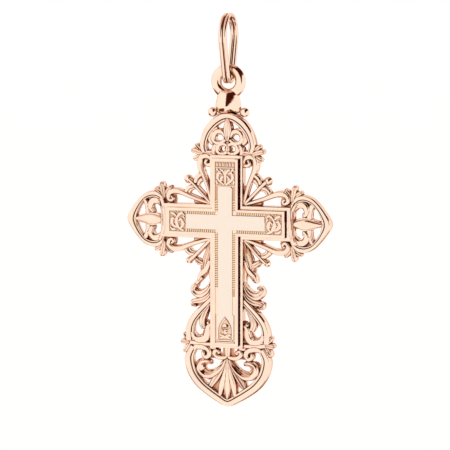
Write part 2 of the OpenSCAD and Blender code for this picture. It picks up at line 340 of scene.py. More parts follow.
# %% Mix a gold
GRAZING_TINT = (0.94, 0.84, 0.77)
DRIFT_SCALE, DRIFT_RANGE = 800.0, (0.3, 0.7)
RIPPLE_DEPTH = 0.00003


def noise(nodes, scale, detail):
    """A noise texture."""
    texture = nodes.new("ShaderNodeTexNoise")
    texture.inputs["Scale"].default_value = scale
    texture.inputs["Detail"].default_value = detail
    return texture


def red_gold(name, light, dark, gloss, ripple, ripple_scale, grazing=GRAZING_TINT):
    """A metal whose tone and roughness drift between two values, with a ripple. grazing tints its edges."""
    metal = bpy.data.materials.new(name)
    metal.use_nodes = True
    nodes, links = metal.node_tree.nodes, metal.node_tree.links
    shader = nodes["Principled BSDF"]
    shader.inputs["Metallic"].default_value = 1.0
    shader.inputs["Specular Tint"].default_value = (*grazing, 1)
    coords = nodes.new("ShaderNodeTexCoord")
    drift = noise(nodes, DRIFT_SCALE, 3.0)
    grain = noise(nodes, ripple_scale, 2.0)
    tone = nodes.new("ShaderNodeMix")
    tone.data_type = "RGBA"
    tone.inputs["A"].default_value = (*dark, 1)
    tone.inputs["B"].default_value = (*light, 1)
    rough = nodes.new("ShaderNodeMapRange")
    rough.inputs["From Min"].default_value, rough.inputs["From Max"].default_value = DRIFT_RANGE
    rough.inputs["To Min"].default_value, rough.inputs["To Max"].default_value = gloss
    bump = nodes.new("ShaderNodeBump")
    bump.inputs["Strength"].default_value = ripple
    bump.inputs["Distance"].default_value = RIPPLE_DEPTH
    for pattern in (drift, grain):
        links.new(coords.outputs["Object"], pattern.inputs["Vector"])
    links.new(drift.outputs["Fac"], tone.inputs["Factor"])
    links.new(tone.outputs["Result"], shader.inputs["Base Color"])
    links.new(drift.outputs["Fac"], rough.inputs["Value"])
    links.new(rough.outputs["Result"], shader.inputs["Roughness"])
    links.new(grain.outputs["Fac"], bump.inputs["Height"])
    links.new(bump.outputs["Normal"], shader.inputs["Normal"])
    return metal


print("ripples are", RIPPLE_DEPTH * 1000, "mm deep")

# %% [markdown]
# ## Patina and painted shade
# The wheel can't reach into the hollows of the relief, where polish and skin oils leave a dark brown
# patina, and shade falls there as well, so the browning painted into the hollows is partly patina and
# partly painted shade. Each carved piece carries an attribute named hollow, worked out further down, that
# says how deep each point lies between its neighbours. It browns the colour and the tint at grazing angles
# alike, because a metal whose edges stay pale looks grey in its hollows. Finishes for flat, open surfaces
# go without it.

# %% Stain a gold with patina and painted shade
# Patina and painted shade: the hollows' colour and grazing tint are multiplied by this ramp.
PATINA_AND_PAINTED_SHADE = ((0.0, (1, 1, 1)), (0.5, (0.58, 0.28, 0.17)), (1.0, (0.2, 0.04, 0.02)))
DULLED_BY = 0.25


def colour_ramp(nodes, stops):
    """A ramp node with a colour at each of some stops."""
    ramp = nodes.new("ShaderNodeValToRGB")
    elements = ramp.color_ramp.elements
    while len(elements) < len(stops):
        elements.new(0.5)
    for element, (position, colour) in zip(elements, stops):
        element.position = position
        element.color = (*colour, 1)
    return ramp


def stained_and_shaded(metal):
    """Browns and dulls a metal where its piece is hollow, as patina and painted shade."""
    nodes, links = metal.node_tree.nodes, metal.node_tree.links
    sockets = nodes["Principled BSDF"].inputs
    depth = nodes.new("ShaderNodeAttribute")
    depth.attribute_name = "hollow"
    patina_shade_ramp = colour_ramp(nodes, PATINA_AND_PAINTED_SHADE)
    links.new(depth.outputs["Fac"], patina_shade_ramp.inputs["Fac"])
    for socket in (sockets["Base Color"], sockets["Specular Tint"]):
        patina_shade_mix = nodes.new("ShaderNodeMix")
        patina_shade_mix.data_type = "RGBA"
        patina_shade_mix.blend_type = "MULTIPLY"
        patina_shade_mix.inputs["Factor"].default_value = 1.0
        patina_shade_mix.inputs["A"].default_value = socket.default_value
        if socket.is_linked:
            links.new(socket.links[0].from_socket, patina_shade_mix.inputs["A"])
        links.new(patina_shade_ramp.outputs["Color"], patina_shade_mix.inputs["B"])
        links.new(patina_shade_mix.outputs["Result"], socket)
    dull = nodes.new("ShaderNodeMath")
    dull.operation = "MULTIPLY_ADD"
    dull.inputs[1].default_value = DULLED_BY
    links.new(depth.outputs["Fac"], dull.inputs[0])
    links.new(sockets["Roughness"].links[0].from_socket, dull.inputs[2])
    links.new(dull.outputs["Value"], sockets["Roughness"])
    return metal


relief_gold = stained_and_shaded(red_gold("red_gold_polished", (0.86, 0.72, 0.54), (0.775, 0.54, 0.455),
                               (0.08, 0.15), 0.3, 2400.0))
print("the relief is", relief_gold.name)

# %% [markdown]
# ## The pierced ground
# Behind all the ornament is one thin plate with the holes pierced through it. The CAD already has its true
# outline, so a copy of that node is cut at the depth of the ground and capped. Everything in front of the
# cut, and the eyelet above, is thrown away and carved anew. The front of the plate stays dull as it was
# cast, and its darker red-brown is painted shade, as it lies deep between the strokes. The walls of the
# holes are polished, and the back is satin, so each face gets its finish by the way it looks.

# %% Cut the ground from the cast part
GROUND = -0.02
GROUND_TOP = 13.1


def cut_away(bm, co, no):
    """Cuts off what lies beyond a plane and caps the cut."""
    cut = bmesh.ops.bisect_plane(bm, geom=bm.verts[:] + bm.edges[:] + bm.faces[:], dist=1e-6, plane_co=co,
                                 plane_no=no, clear_outer=True)["geom_cut"]
    rim = [g for g in cut if isinstance(g, bmesh.types.BMEdge)]
    bmesh.ops.triangle_fill(bm, use_beauty=True, use_dissolve=False, edges=rim)


ground = bmesh.new()
ground.from_mesh(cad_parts[CAST].data)
bmesh.ops.transform(ground, matrix=place.inverted(), verts=ground.verts[:])
bmesh.ops.remove_doubles(ground, verts=ground.verts[:], dist=1e-4)
cut_away(ground, (0, GROUND, 0), (0, -1, 0))
cut_away(ground, (0, 0, GROUND_TOP), (0, 0, 1))
bmesh.ops.recalc_face_normals(ground, faces=ground.faces[:])
print("open edges left in the ground:", sum(1 for e in ground.edges if not e.is_manifold))

# %% Finish the ground
WALLS, BACK_FACES = 1, 2
FACING = 0.5
# Painted shade: the front of the plate is a darker red-brown because it lies deep between the strokes.
ground_gold_painted_shade = red_gold("red_gold_as_cast_painted_shade", (0.78, 0.41, 0.29), (0.52, 0.23, 0.14), (0.3, 0.48), 0.8, 5200.0)
back_gold = red_gold("red_gold_satin", (0.72, 0.5, 0.38), (0.66, 0.44, 0.32), (0.28, 0.4), 0.6, 1800.0)
plate_mesh = finish_piece(ground, "pierced_ground", ground_gold_painted_shade).data
plate_mesh.materials.append(relief_gold)
plate_mesh.materials.append(back_gold)
for face in plate_mesh.polygons:
    if face.normal.y > -FACING:
        face.material_index = BACK_FACES if face.normal.y > FACING else WALLS

# %% [markdown]
# ## The side finials
# Each arm ends in an onion-shaped frame. In it lie a marquise leaf, two C-scrolls that curl in towards the
# leaf, and two short stems that tie the leaf to the frame. A three-lobed tuft sits where the frame leaves
# the arm. One quarter is drawn, and the other three are mirrored from it. The leaf crosses the middle
# line, so it is drawn whole and mirrored to the other side only.

# %% Side finials
side = gather([
    band([(8.0, 2.72), (8.7, 3.36), (9.6, 3.53), (10.75, 3.1), (11.75, 2.1), (12.48, 1.1), (12.88, 0.45),
          (13.0, 0)],
         [(8.4, 2.2), (8.95, 2.62), (9.7, 2.72), (10.5, 2.42), (11.12, 1.72), (11.55, 0.9), (11.7, 0.4),
          (11.75, 0)]),
    band([(7.74, 0, 1.33), (7.78, 1.1, 1.33), (7.9, 2.0, 1.3), (8.25, 2.95, 0.98)],
         [(8.4, 0), (8.43, 0.9), (8.52, 1.7), (8.85, 2.45)], section=CHANNEL),
    stroke([(8.2, 0.3, 0.16), (8.1, 1.0, 0.22), (8.35, 1.75, 0.3), (8.9, 2.27, 0.38), (9.55, 2.25, 0.42),
            (9.9, 1.72, 0.38), (9.82, 1.2, 0.28), (9.6, 1.02, 0.2)], height=1.0, free="e"),
    ball(9.55, 1.22, 0.2, y=-0.42),
    stroke([(10.75, 2.5, 0.28), (10.42, 1.95, 0.3), (10.28, 1.35, 0.27), (10.2, 0.7, 0.36)], height=0.92),
    stroke([(8.0, 2.9, 0.14), (7.75, 3.45, 0.26), (7.4, 3.9, 0.24)], CREASED, 0.9, "e"),
    stroke([(8.3, 3.05, 0.14), (8.7, 3.5, 0.28), (9.15, 3.74, 0.22)], CREASED, 0.92, "e"),
    stroke([(8.1, 2.7, 0.14), (8.25, 3.5, 0.28), (8.4, 4.28, 0.32)], CREASED, 1.02, "e"),
    ball(8.42, 4.3, 0.25, y=-0.36),
], ALL_QUARTERS)
add_to(side, gather([stroke([(7.95, 0, 0.05, 1.3), (8.7, 0, 0.5, 1.25), (9.7, 0, 0.78, 1.16),
                             (10.8, 0, 0.54, 1.06), (12.2, 0, 0.05, 0.93)], LEAF)]))
finish_piece(side, "side_finials", relief_gold)

# %% [markdown]
# ## The top finial
# Under the eyelet is a small pointed arch with a creased petal at its top, a ring on each side of the
# petal's foot, and two smaller rings below. Tufts spread from its shoulders. All but the petal is drawn on
# the right and mirrored, and the petal is a piece of its own, because it lies over the rings.

# %% Top finial
finish_piece(gather([
    band([(0, 13.3), (0.9, 13.12), (2.05, 12.42), (2.95, 11.3), (3.42, 10.1), (3.56, 9.2), (3.3, 8.35)],
         [(0, 12.3), (0.65, 12.1), (1.42, 11.55), (2.18, 10.7), (2.58, 9.8), (2.64, 9.1), (2.5, 8.55)]),
    stroke([(0.3, 10.35, 0.2), (0.75, 10.93, 0.28), (1.38, 10.93, 0.3), (1.8, 10.4, 0.3),
            (1.74, 9.83, 0.27), (1.3, 9.55, 0.24), (0.8, 9.58, 0.24), (0.3, 9.98, 0.22)]),
    stroke([(1.3, 11.35, 0.2), (1.88, 11.0, 0.28), (2.25, 10.4, 0.3), (2.2, 9.85, 0.26), (1.9, 9.45, 0.2)],
           height=0.86),
    stroke([(0.1, 9.3, 0.2), (0.62, 9.5, 0.24), (1.17, 9.2, 0.27), (1.27, 8.7, 0.3), (0.97, 8.27, 0.28),
            (0.42, 8.2, 0.3), (0.08, 8.5, 0.25)]),
    stroke([(1.25, 9.45, 0.22), (1.66, 9.1, 0.27), (1.82, 8.6, 0.3), (1.75, 8.05, 0.3)], height=0.88),
    stroke([(1.9, 8.35, 0.3), (2.6, 8.3, 0.36), (3.3, 8.25, 0.36)], CREASED, 0.9),
    stroke([(3.15, 8.3, 0.22), (3.6, 8.85, 0.3), (3.92, 9.17, 0.26)], CREASED, 0.88, "e"),
    stroke([(3.1, 8.2, 0.22), (3.65, 7.8, 0.33), (4.1, 7.62, 0.27)], CREASED, 0.88, "e"),
    stroke([(3.1, 8.25, 0.18), (3.75, 8.45, 0.3), (4.35, 8.6, 0.28)], CREASED, 1.0, "e"),
]), "top_finial", relief_gold)

finish_piece(gather([
    stroke([(0, 12.6, 0.1), (0, 11.9, 0.4), (0, 11.15, 0.52), (0, 10.5, 0.38), (0, 9.85, 0.14)], CREASED,
           1.06),
    stroke([(0, 9.75, 0.14), (0, 9.2, 0.2), (0, 8.6, 0.3), (0, 8.05, 0.34)], CREASED, 0.9),
], AS_DRAWN), "top_petal", relief_gold)

# %% [markdown]
# ## The corner sprays
# Three rays leave each inner corner of the cross. The upright one grows into a volute under the top
# finial, the outward one into a volute beside the side finial, and the one between them carries a ball.
# Small hooks bridge the rays. Below the arms the upright ray is a fluted leaf instead, so the outward rays
# are drawn once for all four corners and the upright ones apart.

# %% Rays of the corner sprays
outward = [
    stroke([(2.15, 2.1, 0.16), (3.4, 2.5, 0.2), (4.7, 2.93, 0.25), (5.8, 3.38, 0.31), (6.6, 3.56, 0.34),
            (7.25, 3.42, 0.33), (7.6, 2.97, 0.29), (7.48, 2.47, 0.24), (7.1, 2.37, 0.2), (6.93, 2.66, 0.17),
            (7.14, 2.84, 0.12)], free="e"),
    stroke([(2.0, 2.05, 0.18), (3.2, 3.32, 0.19), (4.2, 4.35, 0.2), (4.85, 4.95, 0.22)], ROUND, 0.94),
    stroke([(4.25, 4.2, 0.16), (4.8, 4.1, 0.21), (5.22, 3.75, 0.22), (5.35, 3.35, 0.2), (5.2, 3.05, 0.14)],
           height=0.88),
    stroke([(4.1, 3.97, 0.1), (4.6, 3.86, 0.15), (4.93, 3.52, 0.16), (5.0, 3.1, 0.13)], height=0.7),
    stroke([(2.05, 2.0, 0.12), (3.0, 2.15, 0.13), (4.2, 2.32, 0.14)], height=0.62),
]
print("strokes in an outward spray:", len(outward))

# %% Upright rays
upward = [
    stroke([(3.2, 8.15, 0.3), (3.46, 7.55, 0.36), (3.52, 6.9, 0.37), (3.38, 6.3, 0.33), (3.1, 5.65, 0.28),
            (2.82, 5.0, 0.24), (2.55, 4.25, 0.22), (2.3, 3.3, 0.2), (2.03, 2.3, 0.18)]),
    stroke([(3.3, 7.7, 0.25), (2.95, 7.95, 0.3), (2.4, 7.88, 0.3), (2.0, 7.5, 0.28), (2.06, 7.0, 0.26),
            (2.5, 6.86, 0.24), (2.8, 7.15, 0.2), (2.62, 7.45, 0.15)], height=0.98, free="e"),
    stroke([(3.05, 5.78, 0.18), (3.6, 5.56, 0.25), (4.0, 5.12, 0.25), (4.12, 4.65, 0.2)], height=0.9),
    stroke([(2.68, 4.75, 0.14), (2.95, 5.08, 0.18), (3.32, 5.06, 0.23), (3.68, 4.72, 0.2),
            (3.82, 4.3, 0.16)], height=0.72),
    stroke([(2.0, 2.6, 0.12), (2.1, 3.4, 0.13), (2.15, 4.35, 0.12)], height=0.62),
]
print("strokes in an upright spray:", len(upward))

# %% Corner sprays
LOWER_DROP = 0.05
corners = gather([shape.copy() for shape in outward] + upward)
lower = gather(outward, BOTH_SIDES_BELOW)
bmesh.ops.translate(lower, vec=(0, 0, -LOWER_DROP), verts=lower.verts[:])
add_to(corners, lower)
add_to(corners, gather([
    stroke([(2.08, -2.4, 0.12), (2.35, -3.4, 0.3), (2.62, -4.4, 0.46), (2.85, -5.3, 0.5),
            (2.98, -6.0, 0.3)], FLUTED, 0.86),
    stroke([(3.05, -5.35, 0.22), (3.5, -5.22, 0.34), (3.95, -4.95, 0.27)], CREASED, 0.9, "e"),
    stroke([(2.3, -4.9, 0.2), (2.55, -5.7, 0.32), (3.0, -6.3, 0.36), (3.5, -6.75, 0.26),
            (3.72, -7.3, 0.14)], ROUND, 0.97, "e"),
    stroke([(2.1, -4.8, 0.1), (2.22, -5.9, 0.2), (2.2, -6.8, 0.18), (2.1, -7.7, 0.14)], ROUND, 0.75),
]))
strut = stroke([(3.3, -7.0, 0.26), (3.75, -7.5, 0.22), (4.15, -8.05, 0.24)], ROUND, 0.88)
add_to(corners, gather([strut], LEFT_ONLY))
finish_piece(corners, "corner_sprays", relief_gold)

# %% Cast balls
finish_piece(gather([ball(5.05, 5.05, 0.56), ball(4.95, -5.0, 0.46), ball(2.02, 13.3, 0.59, flat=0.7)]),
             "cast_balls", relief_gold)

# %% [markdown]
# ## The lower side leaves
# Down both sides of the long bar, acanthus leaves curl outwards, and below them a frame swings out to meet
# the heart-shaped finial. A leaf could be one sheet with veins pressed into it. Here each lobe is a
# creased stroke of its own, laid beside the last one, so the valleys between the lobes are as deep as a
# carver cuts them.

# %% Lower side leaves
finish_piece(gather([
    stroke([(2.08, -7.5, 0.12), (2.35, -8.2, 0.26), (2.85, -8.82, 0.38), (3.5, -9.13, 0.47),
            (4.1, -8.98, 0.44), (4.4, -8.52, 0.36), (4.2, -8.12, 0.26), (3.95, -8.08, 0.18)], CREASED, 1.0,
           "e"),
    stroke([(2.1, -8.7, 0.12), (2.55, -9.4, 0.3), (3.25, -9.85, 0.36), (3.95, -10.0, 0.3),
            (4.45, -10.18, 0.22), (4.5, -10.52, 0.18), (4.15, -10.62, 0.12)], CREASED, 0.94, "e"),
    band([(2.15, -9.3), (3.4, -10.5), (4.3, -11.4), (5.0, -12.4), (5.42, -13.6), (5.42, -15.0)],
         [(2.05, -10.3), (3.15, -11.45), (3.95, -12.5), (4.3, -13.3), (4.3, -14.1), (4.2, -14.9)]),
    stroke([(2.15, -10.0, 0.14), (2.7, -11.0, 0.28), (3.1, -11.9, 0.36), (3.3, -12.65, 0.38),
            (3.05, -13.4, 0.32)], CREASED, 0.9),
    stroke([(2.15, -12.8, 0.14), (2.45, -13.2, 0.38), (2.5, -13.95, 0.52), (2.85, -14.62, 0.5),
            (3.6, -14.85, 0.42), (4.25, -14.6, 0.38), (4.55, -13.9, 0.25)], ROUND, 0.95),
    ball(2.45, -12.72, 0.28, y=-0.3),
    ball(3.2, -14.35, 0.22, y=-0.36),
    stroke([(1.9, -15.3, 0.2), (3.0, -15.38, 0.26), (4.2, -15.3, 0.3), (5.0, -15.15, 0.3)], ROUND, 0.9),
    stroke([(4.9, -15.0, 0.2), (5.25, -14.6, 0.3), (5.48, -14.3, 0.26)], CREASED, 0.88, "e"),
    stroke([(4.9, -15.3, 0.2), (5.2, -15.85, 0.32), (5.45, -16.25, 0.29)], CREASED, 0.88, "e"),
    stroke([(4.9, -15.15, 0.16), (5.35, -15.2, 0.28), (5.78, -15.2, 0.24)], CREASED, 1.0, "e"),
]), "lower_leaves", relief_gold)

# %% [markdown]
# ## The heart finial
# The foot of the pendant is a heart-shaped frame. A palmette of seven lobes fans down inside it, and two
# leafy scrolls curl over its shoulders. The three lobes on one side are mirrored, and the middle one,
# which stands higher than the rest, is a piece of its own.

# %% Heart finial
finish_piece(gather([
    band([(4.75, -15.5), (5.5, -16.9), (5.52, -17.9), (5.1, -19.3), (4.1, -20.7), (2.6, -21.85),
          (1.2, -22.68), (0.45, -23.03), (0, -23.1)],
         [(3.95, -16.0), (4.3, -16.8), (4.3, -17.7), (3.9, -18.9), (3.0, -20.05), (1.8, -20.95),
          (0.85, -21.6), (0.3, -21.98), (0, -22.1)]),
    stroke([(4.55, -16.1, 0.2), (4.05, -15.75, 0.3), (3.3, -15.72, 0.34), (2.62, -15.95, 0.34),
            (2.33, -16.5, 0.3), (2.62, -16.98, 0.27), (3.08, -16.82, 0.24), (3.12, -16.42, 0.18)], ROUND,
           0.97, "e"),
    stroke([(0.25, -17.1, 0.16), (0.75, -18.0, 0.32), (1.4, -18.72, 0.4), (2.2, -19.15, 0.45),
            (3.0, -19.1, 0.5), (3.48, -18.55, 0.55), (3.36, -17.95, 0.46), (2.88, -17.62, 0.34),
            (2.35, -17.6, 0.24)], SLANT, 1.04, "e"),
    stroke([(0.05, -17.3, 0.08), (0.36, -19.0, 0.27), (0.76, -20.5, 0.36), (0.96, -21.7, 0.18)], ROUND,
           0.97),
    stroke([(0.15, -17.4, 0.08), (0.95, -18.75, 0.28), (1.68, -19.85, 0.38), (2.15, -20.6, 0.22)], CREASED,
           0.93),
    stroke([(0.3, -17.5, 0.08), (1.25, -18.5, 0.18), (2.1, -19.2, 0.24), (2.6, -19.7, 0.2)], ROUND, 0.84),
    stroke([(0.12, -16.85, 0.18), (0.68, -16.98, 0.24), (1.3, -16.9, 0.27), (1.72, -16.5, 0.26),
            (1.6, -16.1, 0.22), (1.28, -16.12, 0.16)], ROUND, 0.92, "e"),
    stroke([(1.5, -15.75, 0.28), (2.3, -15.68, 0.26)], ROUND, 0.8),
    ball(1.16, -16.3, 0.3, y=-0.2),
]), "heart_finial", relief_gold)

finish_piece(gather([
    stroke([(0, -17.0, 0.1), (0, -19.0, 0.24), (0, -20.7, 0.38), (0, -22.0, 0.14)], LEAF, 1.06),
    stroke([(0, -15.5, 0.42), (0, -16.2, 0.34), (0, -16.95, 0.3)], CREASED, 0.88),
], AS_DRAWN), "palmette_middle", relief_gold)

# %% [markdown]
# ## The raised cross
# In front stands a plain bevelled cross on a slightly wider ledge. Its outline is one flat face with
# twelve corners. The face is extruded, inset to leave the rim, and sunk for the tooled strip, and the
# rim's outer edges are bevelled last. Doing it on one face keeps the mitres at the inner corners true. Its
# side walls are painted near-black as painted shade, for the dark lines beside the bars: a finish that
# hardly mirrors the room even at grazing angles, so its tint there is dark too.

# %% Shape a cross
BAR = 1.66
BAR_TOP, BAR_FOOT, BAR_ARM = 7.8, -15.25, 7.48


def cross_outline(bm, bar, top, foot, arm, y):
    """A flat face in the shape of a cross, looking to the front."""
    corners = ((bar, foot), (bar, -bar), (arm, -bar), (arm, bar), (bar, bar), (bar, top),
               (-bar, top), (-bar, bar), (-arm, bar), (-arm, -bar), (-bar, -bar), (-bar, foot))
    return bm.faces.new([bm.verts.new((x, y, z)) for x, z in corners])


def raise_face(bm, face, by):
    """Extrudes a face along y and gives the new face in front."""
    new = grow(bm, face, closes=True)
    bmesh.ops.translate(bm, vec=(0, by, 0), verts=list(new.verts))
    return new


def soften(bm, edges, width, segments=2):
    """Bevels edges."""
    bmesh.ops.bevel(bm, geom=edges, offset=width, offset_type="OFFSET", affect="EDGES", segments=segments,
                    profile=0.5, material=-1)


def inset(bm, face, by):
    """Insets one face and gives the face inside."""
    bmesh.ops.inset_region(bm, faces=[face], thickness=by, use_even_offset=True, use_boundary=True)
    return face


print("the bars are", 2 * BAR, "mm wide")

# %% Cut the ledge
LEDGE = {"bar": 2.08, "top": 8.15, "foot": -15.6, "arm": 8.1}
LEDGE_BACK, LEDGE_FRONT = BACK - 0.05, -0.95
EDGE_BREAK = 0.08
ledge = bmesh.new()
front = raise_face(ledge, cross_outline(ledge, **LEDGE, y=LEDGE_BACK), LEDGE_FRONT - LEDGE_BACK)
soften(ledge, list(front.edges), EDGE_BREAK)
bmesh.ops.recalc_face_normals(ledge, faces=ledge.faces[:])
finish_piece(ledge, "cross_ledge", relief_gold)

# %% Cut the cross bars
BARS_BACK = FRONT + 0.3
RIM = 0.38
RIM_SLOPE = 0.04
TOOLED_DEPTH = 0.17
bars = bmesh.new()
outline = cross_outline(bars, BAR, BAR_TOP, BAR_FOOT, BAR_ARM, BARS_BACK)
front = raise_face(bars, outline, FACE - BARS_BACK)
rim_edges = list(front.edges)
front = inset(bars, front, RIM)
front = inset(bars, front, RIM_SLOPE)
bmesh.ops.translate(bars, vec=(0, TOOLED_DEPTH, 0), verts=list(front.verts))
soften(bars, rim_edges, EDGE_BREAK)
bmesh.ops.recalc_face_normals(bars, faces=bars.faces[:])
bars_mesh = finish_piece(bars, "raised_cross", relief_gold).data

# %% Darken the side walls with painted shade
WALL_NEAR = 0.1
FACING_SIDEWAYS = 0.9
# Painted shade: a near-black colour and a dark grazing tint on the outer side walls.
painted_shade_wall_gold = red_gold("red_gold_painted_shade_wall", (0.09, 0.02, 0.011), (0.045, 0.008, 0.005), (0.18, 0.32),
                         0.5, 3000.0, grazing=(0.36, 0.12, 0.08))
bars_mesh.materials.append(painted_shade_wall_gold)
for face in bars_mesh.polygons:
    reach = abs(face.center.x) / unit
    outer = min(abs(reach - BAR), abs(reach - BAR_ARM)) < WALL_NEAR
    if outer and abs(face.normal.x) > FACING_SIDEWAYS:
        face.material_index = 1
print("dark walls:", sum(face.material_index for face in bars_mesh.polygons))

# %% [markdown]
# ## The smooth cross
# A smaller cross lies on the bars, flat and brightly lit. It stops short of the panels at the ends. It is
# a thin plate whose front edge is only just broken, with its two top corners rounded. The corners are
# bevelled before the front edge, so that the edge runs round them in one piece.

# %% Smooth cross
SMOOTH_HALF = 0.92
SMOOTH_TOP, SMOOTH_FOOT, SMOOTH_ARM = 4.4, -11.35, 5.0
SMOOTH_THICK = 0.3
TOP_CORNER, THIN_BREAK = 0.34, 0.05
CLOSE = 0.01
face_gold = red_gold("red_gold_flat_polish", (0.79, 0.675, 0.57), (0.78, 0.645, 0.54),
                     (0.12, 0.2), 0.1, 1500.0)
smooth_cross = bmesh.new()
outline = cross_outline(smooth_cross, SMOOTH_HALF, SMOOTH_TOP, SMOOTH_FOOT, SMOOTH_ARM, FACE + SMOOTH_THICK)
raise_face(smooth_cross, outline, -SMOOTH_THICK)
top_corners = [e for e in smooth_cross.edges if all(v.co.z > SMOOTH_TOP - CLOSE for v in e.verts)
               and abs(e.verts[0].co.x - e.verts[1].co.x) < CLOSE]
soften(smooth_cross, top_corners, TOP_CORNER, 4)
front_edges = [e for e in smooth_cross.edges if all(v.co.y < FACE + CLOSE for v in e.verts)
               and any(v.co.z > SMOOTH_FOOT + CLOSE for v in e.verts)]
soften(smooth_cross, front_edges, THIN_BREAK)
bmesh.ops.recalc_face_normals(smooth_cross, faces=smooth_cross.faces[:])
finish_piece(smooth_cross, "smooth_cross", face_gold)

# %% [markdown]
# ## The tooled strips
# Between the rim and the smooth cross runs a row of short slanted cuts, made one by one with a graver.
# What stays between two cuts is a small ridge, so each ridge is one little bar whose front is narrower
# than its foot. They run out to the panels on the arms. Wear has wiped them off the lower bar, so the rows
# there stop early.

# %% Cut a ridge
STRIP_MIDDLE = (SMOOTH_HALF + BAR - RIM) / 2
STRIP_HALF = (BAR - RIM - SMOOTH_HALF) / 2 - 0.02
RIDGE_WIDE, RIDGE_NARROWS, RIDGE_SLANT = 0.2, 0.75, 0.22
RIDGE_FRONT, RIDGE_FOOT = FACE + 0.015, FACE + TOOLED_DEPTH + 0.02


def tooled_ridge(bm, x, z, along_x):
    """One slanted ridge that crosses the strip at (x, z). The strip runs along x or along z."""
    for v in bmesh.ops.create_cube(bm, size=1.0)["verts"]:
        in_front = v.co.y < 0
        across = v.co.z * 2 * STRIP_HALF
        along = v.co.x * RIDGE_WIDE * (RIDGE_NARROWS if in_front else 1.0) + across * RIDGE_SLANT
        depth = RIDGE_FRONT if in_front else RIDGE_FOOT
        v.co = (x + along, depth, z + across) if along_x else (x + across, depth, z + along)


print("a ridge is", round(2 * STRIP_HALF, 2), "mm long")

# %% Tooled strips
PITCH = 0.27
ARM_ROW, UPPER_ROW, LOWER_ROW = (1.4, 4.9), (1.4, 2.6), (-8.0, -1.4)


def along_row(start, stop):
    """Even places from start to stop, about one pitch apart."""
    count = round((stop - start) / PITCH)
    return [start + (stop - start) * i / count for i in range(count + 1)]


tooled = bmesh.new()
for side in (-1, 1):
    for x in along_row(*ARM_ROW):
        for up in (-1, 1):
            tooled_ridge(tooled, side * x, up * STRIP_MIDDLE, True)
    for z in along_row(*UPPER_ROW) + along_row(*LOWER_ROW):
        tooled_ridge(tooled, side * STRIP_MIDDLE, z, False)
bmesh.ops.recalc_face_normals(tooled, faces=tooled.faces[:])
print("tooled ridges:", len(tooled.verts) // 8)
tooled_gold = stained_and_shaded(red_gold("red_gold_tooled", (0.84, 0.62, 0.42), (0.8, 0.55, 0.35),
                               (0.1, 0.2), 0.3, 2400.0))
finish_piece(tooled, "tooled_strips", tooled_gold)

# %% [markdown]
# ## The engraved panels
# The ends of the raised cross carry small engraved panels. Their floor is stippled with a punch so that it
# stays dull, and its dark brown, like the browner floor of the niche, is painted shade in the recess.
# Sprigs and scrolls stand on it. They are the same carved strokes as the openwork, on a higher base and
# much finer. The lower panel has a niche with a pointed arch over a skull and two bones, which is the old
# sign for the place of the crucifixion on crosses of this kind.

# %% Panel and strip floors
PANEL_BASE = FACE + TOOLED_DEPTH + 0.01
FLOOR_THICK, FLOOR_FRONT = 0.12, PANEL_BASE - 0.02
FLOOR_PLAY = 0.05
PANEL_HALF = BAR - RIM - FLOOR_PLAY
STRIP_START, ARM_STRIP_END = 1.32, 4.98
STRIP_FOOT = {1: -9.1, -1: -7.98}


def floor_plate(x0, x1, z0, z1):
    """A thin plate at the foot of a panel or a strip."""
    bm = bmesh.new()
    bmesh.ops.create_cube(bm, size=1.0)
    bmesh.ops.scale(bm, vec=(x1 - x0, FLOOR_THICK, z1 - z0), verts=bm.verts[:])
    middle = ((x0 + x1) / 2, FLOOR_FRONT + FLOOR_THICK / 2, (z0 + z1) / 2)
    bmesh.ops.translate(bm, vec=middle, verts=bm.verts[:])
    return bm


arm_floor = floor_plate(SMOOTH_ARM + FLOOR_PLAY, BAR_ARM - RIM - FLOOR_PLAY, -PANEL_HALF, PANEL_HALF)
floors = gather([arm_floor])
add_to(floors, floor_plate(-PANEL_HALF, PANEL_HALF, SMOOTH_TOP + FLOOR_PLAY, BAR_TOP - RIM - FLOOR_PLAY))
for side in (-1, 1):
    left, right = sorted((side * STRIP_START, side * ARM_STRIP_END))
    for middle in (-STRIP_MIDDLE, STRIP_MIDDLE):
        add_to(floors, floor_plate(left, right, middle - STRIP_HALF, middle + STRIP_HALF))
    left, right = side * STRIP_MIDDLE - STRIP_HALF, side * STRIP_MIDDLE + STRIP_HALF
    for low, high in ((STRIP_START, SMOOTH_TOP), (STRIP_FOOT[side], -STRIP_START)):
        add_to(floors, floor_plate(left, right, low, high))
# Painted shade: the recessed floors of the panels and the tooled strips are dark brown.
stippled_gold_painted_shade = red_gold("red_gold_stippled_painted_shade", (0.74, 0.5, 0.33), (0.5, 0.27, 0.15),
                         (0.25, 0.42), 1.0, 7000.0)
finish_piece(floors, "panel_floors", stippled_gold_painted_shade)

# %% Niche floor
# Painted shade: the niche's floor drifts to a brown that stands for the shade inside the niche.
niche_gold_painted_shade = red_gold("red_gold_niche", (0.86, 0.66, 0.46), (0.66, 0.4, 0.24), (0.2, 0.35), 1.0, 7000.0)
niche = floor_plate(-PANEL_HALF, PANEL_HALF, BAR_FOOT + RIM + FLOOR_PLAY, SMOOTH_FOOT - FLOOR_PLAY)
finish_piece(niche, "niche_floor", niche_gold_painted_shade)

# %% Sprigs on the arms
PANEL_RELIEF = TOOLED_DEPTH + 0.02
FINE_UNDER = 0.03
FINE_SPREAD = 0.035


def sprig(rows, free="e", section=ROUND, top=1.0):
    """A fine stroke that stands on a panel's floor."""
    return stroke(rows, section, top, free, PANEL_BASE + FINE_UNDER, PANEL_RELIEF + FINE_UNDER, FINE_SPREAD)


